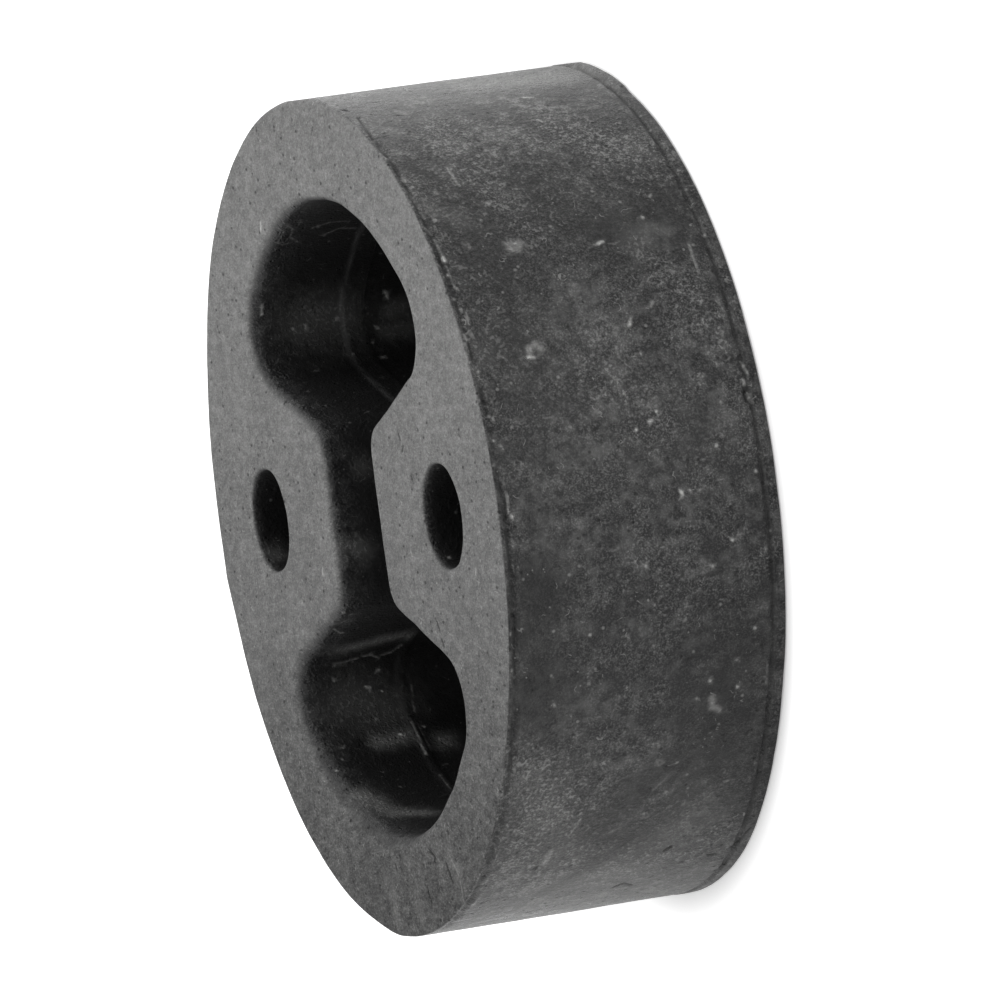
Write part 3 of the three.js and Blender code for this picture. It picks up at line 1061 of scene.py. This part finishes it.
# %% Start the material, and read what each point of the mesh carries
rubber = bpy.data.materials.new("moulded_rubber")
tree = new_tree(rubber)
place = node(tree, "ShaderNodeTexCoord").outputs["Object"]
in_mm = node(tree, "ShaderNodeVectorMath", {0: place, 1: (1 / MM,) * 3}, operation="MULTIPLY")
on_a_face = node(tree, "ShaderNodeAttribute", attribute_name="on_a_face").outputs["Fac"]
in_a_hole = node(tree, "ShaderNodeAttribute", attribute_name="in_a_hole").outputs["Fac"]
painted_shade_in_holes = node(tree, "ShaderNodeAttribute", attribute_name="painted_shade_in_holes").outputs["Fac"]
pale_marks_and_light = node(tree, "ShaderNodeAttribute", attribute_name="pale_marks_and_light").outputs["Fac"]
dark_marks_and_shade = node(tree, "ShaderNodeAttribute", attribute_name="dark_marks_and_shade").outputs["Fac"]
gritty = node(tree, "ShaderNodeAttribute", attribute_name="gritty").outputs["Fac"]
print(f"material: {rubber.name} reads {len(mesh.attributes)} attributes")


# %% Clouds, dots and stacks
def cloudy(size, low, high, detail=2.0, shift=0.0, longer=1.0):
    """Noise of a size in millimetres, where low becomes 0 and high 1. It may be longer along X."""
    moved = node(tree, "ShaderNodeVectorMath", {0: in_mm, 1: (1 / longer, 1, 1),
                 2: (shift, -shift, shift)}, operation="MULTIPLY_ADD")
    pattern = node(tree, "ShaderNodeTexNoise", {"Vector": moved, "Scale": 1 / size, "Detail": detail})
    return node(tree, "ShaderNodeMapRange", {"Value": pattern, "From Min": low, "From Max": high})


def scattered(spacing, radius, share, shift, longer=1.0):
    """Scattered dots. A share of the cells of this spacing hold one."""
    moved = node(tree, "ShaderNodeVectorMath", {0: in_mm, 1: (1 / longer, 1, 1),
                 2: (shift, shift, -shift)}, operation="MULTIPLY_ADD")
    cells = node(tree, "ShaderNodeTexVoronoi", {"Vector": moved, "Scale": 1 / spacing}).outputs
    chance = node(tree, "ShaderNodeSeparateColor", {"Color": cells["Color"]})
    picked = node(tree, "ShaderNodeMath", {0: chance, 1: 1 - share}, operation="GREATER_THAN")
    dot = node(tree, "ShaderNodeMapRange", {"Value": cells["Distance"], "From Min": radius / spacing,
               "From Max": 0.4 * radius / spacing})
    return node(tree, "ShaderNodeMath", {0: dot, 1: picked}, operation="MULTIPLY")


def stacked(base, *layers):
    """A base value with layers on it, each a pattern and its amount."""
    total = base
    for pattern, amount in layers:
        total = node(tree, "ShaderNodeMath", {0: pattern, 1: amount, 2: total}, operation="MULTIPLY_ADD")
    return total


print(f"helpers: one cloud of noise has {patch_size} mm swells")

# %% [markdown]
# Patterns in millimetres.
# Noise is measured against real sizes: a hand wipes patches some millimetres wide, bloom dries in
# blotches of about one, and mould grain, pits and grit are a few tenths. On the two faces the grain
# is longer along X, as if the mould's face plates had been ground in that direction.

# %% Patterns of the side
patches = cloudy(patch_size, 0.38, 0.66, detail=4.0)
blotches = cloudy(blotch_size, 0.38, 0.72, detail=3.0, shift=31.0)
grain = cloudy(grain_size, 0.5, 0.72, detail=1.5, shift=7.0)
fine_grain = cloudy(0.5 * grain_size, 0.5, 0.74, detail=0.0, shift=19.0)
grit = cloudy(grit_size, 0.53, 0.63, detail=1.0, shift=61.0)
zones = cloudy(zone_size, 0.42, 0.58, detail=3.0, shift=57.0)
flecks = scattered(fleck_size, 0.2, 0.12, 3.0)
fine_flecks = scattered(fine_fleck_size, 0.1, 0.14, 13.0)
pits = scattered(pit_size, 0.18, 0.5, 23.0, longer=1.8)
stains = cloudy(stain_size, 0.37, 0.28, detail=2.0, shift=103.0)
strand_noise = cloudy(strand_size, 0.0, 1.0, shift=43.0)
strand_line = node(tree, "ShaderNodeMath", {0: strand_noise, 1: 0.5, 2: 0.01}, operation="COMPARE")
strand_zones = cloudy(1.1, 0.62, 0.68, shift=71.0)
strands = node(tree, "ShaderNodeMath", {0: strand_line, 1: strand_zones}, operation="MULTIPLY")
print(f"side: {pit_size} mm between pits, {fleck_size} mm between flecks")

# %% Patterns of the faces
face_blotches = cloudy(0.9, 0.38, 0.72, detail=2.0, shift=31.0, longer=1.8)
face_grain = cloudy(0.26, 0.46, 0.74, detail=1.5, shift=83.0, longer=2.3)
face_fine_grain = cloudy(0.14, 0.46, 0.74, detail=0.0, shift=89.0, longer=2.1)
pores = cloudy(0.3, 0.36, 0.24, detail=1.0, shift=97.0, longer=1.8)
print(f"material: {len(tree.nodes)} nodes so far")

# %% Bloom of the side
# Both ends of the disc, over the lobes, are rubbed most, and there the grain shows and the skin shines
face_height = node(tree, "ShaderNodeSeparateXYZ", {0: in_mm}).outputs["Y"]
from_middle = node(tree, "ShaderNodeMath", {0: face_height}, operation="ABSOLUTE")
rubbed_ends = node(tree, "ShaderNodeMapRange", {"Value": from_middle, "From Min": 28.5, "From Max": 35.8,
                   "To Max": 0.6})
grain_strength = stacked(0.15, (zones, 0.2), (rubbed_ends, 0.4), (gritty, 0.15))
wiped = stacked(-0.15, (patches, 0.22), (blotches, 0.36))
side_bloom = node(tree, "ShaderNodeMath", {0: wiped, 1: 0.0}, operation="MAXIMUM")
grit_here = node(tree, "ShaderNodeMath", {0: gritty, 1: stacked(0.26, (blotches, 1.3))},
                 operation="MULTIPLY")
end_patches = node(tree, "ShaderNodeMath", {0: blotches, 1: stacked(0.1, (patches, 0.9))},
                   operation="MULTIPLY")
side_bloom = stacked(side_bloom, (grain, grain_strength), (fine_grain, grain_strength),
                     (grit, grit_here), (end_patches, rubbed_ends), (rubbed_ends, 0.02))
print(f"material: {len(tree.nodes)} nodes with the side's bloom")

# %% Bloom and painted light of the faces, and bloom of the holes
# The face grows paler from the scuffed lower lobe (-Y) to the upper one: painted light from above, laid
# over its bloom. The holes have less bloom
face_bloom_and_light = node(tree, "ShaderNodeMapRange", {"Value": face_height, "From Min": -34, "From Max": 16,
                  "To Min": 0.05, "To Max": 0.41})
face_bloom_and_light = stacked(face_bloom_and_light, (face_blotches, 0.26), (patches, 0.1), (face_grain, 0.24),
                     (face_fine_grain, 0.22), (pores, -0.25))
bloom = node(tree, "ShaderNodeMix", {"Factor": on_a_face, "A": side_bloom, "B": face_bloom_and_light})
hole_bloom = node(tree, "ShaderNodeMath", {0: side_bloom, 1: 0.4}, operation="MULTIPLY")
bloom = node(tree, "ShaderNodeMix", {"Factor": in_a_hole, "A": bloom, "B": hole_bloom})
print(f"material: {len(tree.nodes)} nodes with all bloom")

# %% Colour
first_colour, second_colour = 6, 7  # the colour inputs of a Mix node, whose result is output 2
bloomed = node(tree, "ShaderNodeMix", {0: bloom, first_colour: clean_rubber, second_colour: grey_bloom},
               data_type="RGBA").outputs[2]
# Painted shade: the walls of the holes go towards near-black with depth.
shaded = node(tree, "ShaderNodeMix", {0: painted_shade_in_holes, first_colour: bloomed, second_colour: dirt_and_shade_black},
              data_type="RGBA").outputs[2]
side_stains = node(tree, "ShaderNodeMath",
                   {0: stains, 1: stacked(stain_darkness, (on_a_face, -stain_darkness))},
                   operation="MULTIPLY")
pits_and_stains = node(tree, "ShaderNodeMath", {0: stacked(0.0, (pits, pit_darkness)), 1: side_stains},
                       operation="MAXIMUM")
all_dark = node(tree, "ShaderNodeMath", {0: dark_marks_and_shade, 1: pits_and_stains}, operation="MAXIMUM")
pitted = node(tree, "ShaderNodeMix", {0: all_dark, first_colour: shaded, second_colour: dirt_and_shade_black},
              data_type="RGBA").outputs[2]
all_flecks = node(tree, "ShaderNodeMath", {0: flecks, 1: fine_flecks}, operation="MAXIMUM")
all_flecks = node(tree, "ShaderNodeMath", {0: all_flecks, 1: strands}, operation="MAXIMUM")
fleck_pale = node(tree, "ShaderNodeMath", {0: all_flecks, 1: stacked(fleck_paleness, (in_a_hole, -0.2))},
                  operation="MULTIPLY")
broken_up = node(tree, "ShaderNodeMapRange", {"Value": grain, "To Min": 0.75, "To Max": 1.6})
mark_pale = node(tree, "ShaderNodeMath", {0: pale_marks_and_light, 1: broken_up}, operation="MULTIPLY")
all_pale = node(tree, "ShaderNodeMath", {0: mark_pale, 1: fleck_pale}, operation="MAXIMUM")
colour = node(tree, "ShaderNodeMix", {0: all_pale, first_colour: pitted, second_colour: pale_for_scars_and_light},
              data_type="RGBA").outputs[2]
print(f"material: {len(tree.nodes)} nodes with the colour")

# %% Roughness, bump and shader
roughness = node(tree, "ShaderNodeMapRange", {"Value": bloom, "From Max": 0.4, "To Min": 0.42,
                 "To Max": 0.66})
scuffed = node(tree, "ShaderNodeMapRange", {"Value": face_height, "From Min": -8, "From Max": -27,
               "To Max": 0.35})
scuffed_face = node(tree, "ShaderNodeMath", {0: scuffed, 1: on_a_face}, operation="MULTIPLY")
off_the_face = node(tree, "ShaderNodeMath", {0: 1.0, 1: on_a_face}, operation="SUBTRACT")
polished_ends = node(tree, "ShaderNodeMath", {0: rubbed_ends, 1: off_the_face}, operation="MULTIPLY")
roughness = stacked(roughness, (painted_shade_in_holes, 0.3), (scuffed_face, 1.0), (polished_ends, -0.4))
height = stacked(0.0, (grain, 0.6), (blotches, 0.8), (pits, -1.2), (flecks, 0.8), (pores, -0.6),
                 (grit_here, grit))
bump = node(tree, "ShaderNodeBump", {"Height": height, "Strength": 1.0, "Distance": bump_depth * MM})
skin_shader = node(tree, "ShaderNodeBsdfPrincipled", {"Base Color": colour, "Roughness": roughness,
                   "IOR": rubber_ior, "Normal": bump})
node(tree, "ShaderNodeOutputMaterial", {"Surface": skin_shader})
mesh.materials.append(rubber)
print(f"material: {rubber.name}, {len(tree.nodes)} nodes in all")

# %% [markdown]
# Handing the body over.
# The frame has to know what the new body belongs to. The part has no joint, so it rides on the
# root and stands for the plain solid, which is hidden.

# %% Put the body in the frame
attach(rubber_body, "root")
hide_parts("hanger_rubber")
